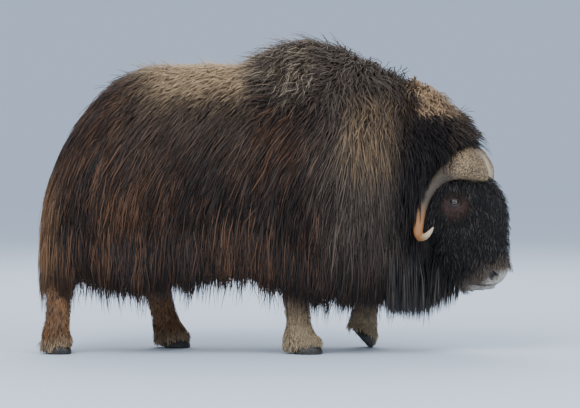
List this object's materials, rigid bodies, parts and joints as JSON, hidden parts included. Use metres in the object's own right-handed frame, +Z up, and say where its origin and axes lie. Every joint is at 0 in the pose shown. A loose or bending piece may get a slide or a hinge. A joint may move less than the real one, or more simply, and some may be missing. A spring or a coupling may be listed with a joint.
{
  "type": "muskox",
  "caption": "Life-size still muskox bull in a walking pose, head low, broad horn boss with down-curved horns, and a long coat hanging as a skirt.",
  "frame": {"origin": "on the floor, under the middle of the animal's bounding box", "axes": "+X the way the animal walks, +Y its left, +Z up"},
  "size_m": [2.1004, 0.743, 1.386],
  "materials": {
    "coat": "long coarse brown-black guard hair",
    "mane": "long grey-brown guard hair",
    "face": "short dark hair",
    "ear": "short dark brown hair",
    "leg": "short tan hair",
    "horn": "rough fibrous tan horn",
    "hoof": "worn black horn",
    "eye": "wet dark brown"
  },
  "bodies": {
    "root": {"torso": "coat", "neck": "mane", "head": "face", "tail": "coat", "ear_left": "ear", "ear_right": "ear", "eye_left": "eye", "eye_right": "eye", "horn_left": "horn", "horn_right": "horn", "leg_left_fore": "leg", "leg_right_fore": "leg", "leg_left_hind": "leg", "leg_right_hind": "leg", "hoof_left_fore_left": "hoof", "hoof_left_fore_right": "hoof", "hoof_right_fore_left": "hoof", "hoof_right_fore_right": "hoof", "hoof_left_hind_left": "hoof", "hoof_left_hind_right": "hoof", "hoof_right_hind_left": "hoof", "hoof_right_hind_right": "hoof"}
  },
  "joints": []
}
